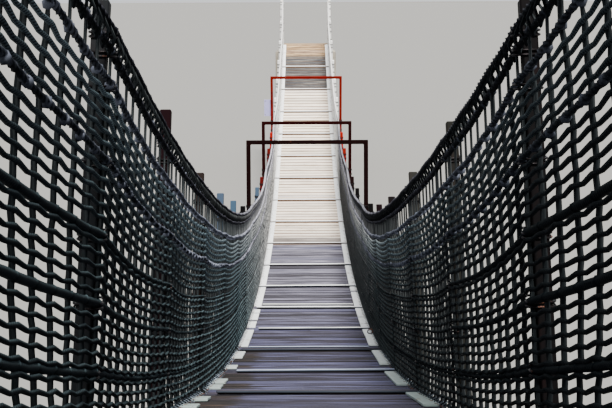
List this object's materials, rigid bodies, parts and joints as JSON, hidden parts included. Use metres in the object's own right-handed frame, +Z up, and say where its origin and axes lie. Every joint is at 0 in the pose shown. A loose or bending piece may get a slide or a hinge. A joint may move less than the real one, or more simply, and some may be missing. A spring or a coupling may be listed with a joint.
{
  "type": "rope suspension footbridge",
  "caption": "Narrow boarded footbridge that hangs in a shallow curve, with painted steel cross frames at its deck joints, closed frames over the walkway and knotted rope nets along both sides.",
  "frame": {"origin": "on the ground under the middle of the bridge's length and width", "axes": "+X to the right, +Y along the bridge from its near end to its far end, +Z up"},
  "size_m": [1.72, 36.9, 5.43],
  "materials": {
    "concrete": "rough cast concrete",
    "landing_boards": "weathered boards",
    "deck_boards": "weathered boards",
    "maroon_paint": "worn paint",
    "black_paint": "worn paint",
    "blue_paint": "worn paint",
    "red_brown_paint": "worn paint",
    "red_paint": "gloss paint",
    "white_paint": "worn paint",
    "notice_plate": "plain painted plate",
    "steel_rope": "stranded wire rope",
    "handrail_rope": "laid fibre rope",
    "side_rope": "laid fibre rope"
  },
  "bodies": {
    "root": {"near_abutment": "concrete", "far_abutment": "concrete", "near_landing_deck": "landing_boards", "far_landing_deck": "landing_boards", "deck_bay_01": "deck_boards", "deck_bay_02": "deck_boards", "deck_bay_03": "deck_boards", "deck_bay_04": "deck_boards", "deck_bay_05": "deck_boards", "deck_bay_06": "deck_boards", "deck_bay_07": "deck_boards", "deck_bay_08": "deck_boards", "deck_bay_09": "deck_boards", "deck_bay_10": "deck_boards", "deck_bay_11": "deck_boards", "deck_bay_12": "deck_boards", "deck_bay_13": "deck_boards", "deck_bay_14": "deck_boards", "deck_bay_15": "deck_boards", "deck_bay_16": "deck_boards", "deck_bay_17": "deck_boards", "deck_bay_18": "deck_boards", "deck_bay_19": "deck_boards", "near_end_frame": "maroon_paint", "cross_frame_01": "maroon_paint", "cross_frame_02": "maroon_paint", "cross_frame_03": "maroon_paint", "cross_frame_04": "maroon_paint", "cross_frame_05": "blue_paint", "cross_frame_06": "blue_paint", "cross_frame_07": "black_paint", "portal_frame_1": "maroon_paint", "cross_frame_09": "blue_paint", "cross_frame_10": "red_brown_paint", "portal_frame_2": "maroon_paint", "cross_frame_12": "maroon_paint", "cross_frame_13": "maroon_paint", "portal_frame_3": "red_paint", "cross_frame_15": "white_paint", "cross_frame_16": "white_paint", "cross_frame_17": "white_paint", "cross_frame_18": "white_paint", "cross_frame_19": "white_paint", "cross_frame_20": "white_paint", "far_end_frame": "white_paint", "notice_plate": "notice_plate", "deck_cable_left": "steel_rope", "deck_cable_right": "steel_rope", "handrail_rope_left": "handrail_rope", "handrail_rope_right": "handrail_rope", "side_ropes_left_1": "side_rope", "side_ropes_left_2": "side_rope", "side_ropes_left_3": "side_rope", "side_ropes_left_4": "side_rope", "side_ropes_right_1": "side_rope", "side_ropes_right_2": "side_rope", "side_ropes_right_3": "side_rope", "side_ropes_right_4": "side_rope"}
  },
  "joints": []
}
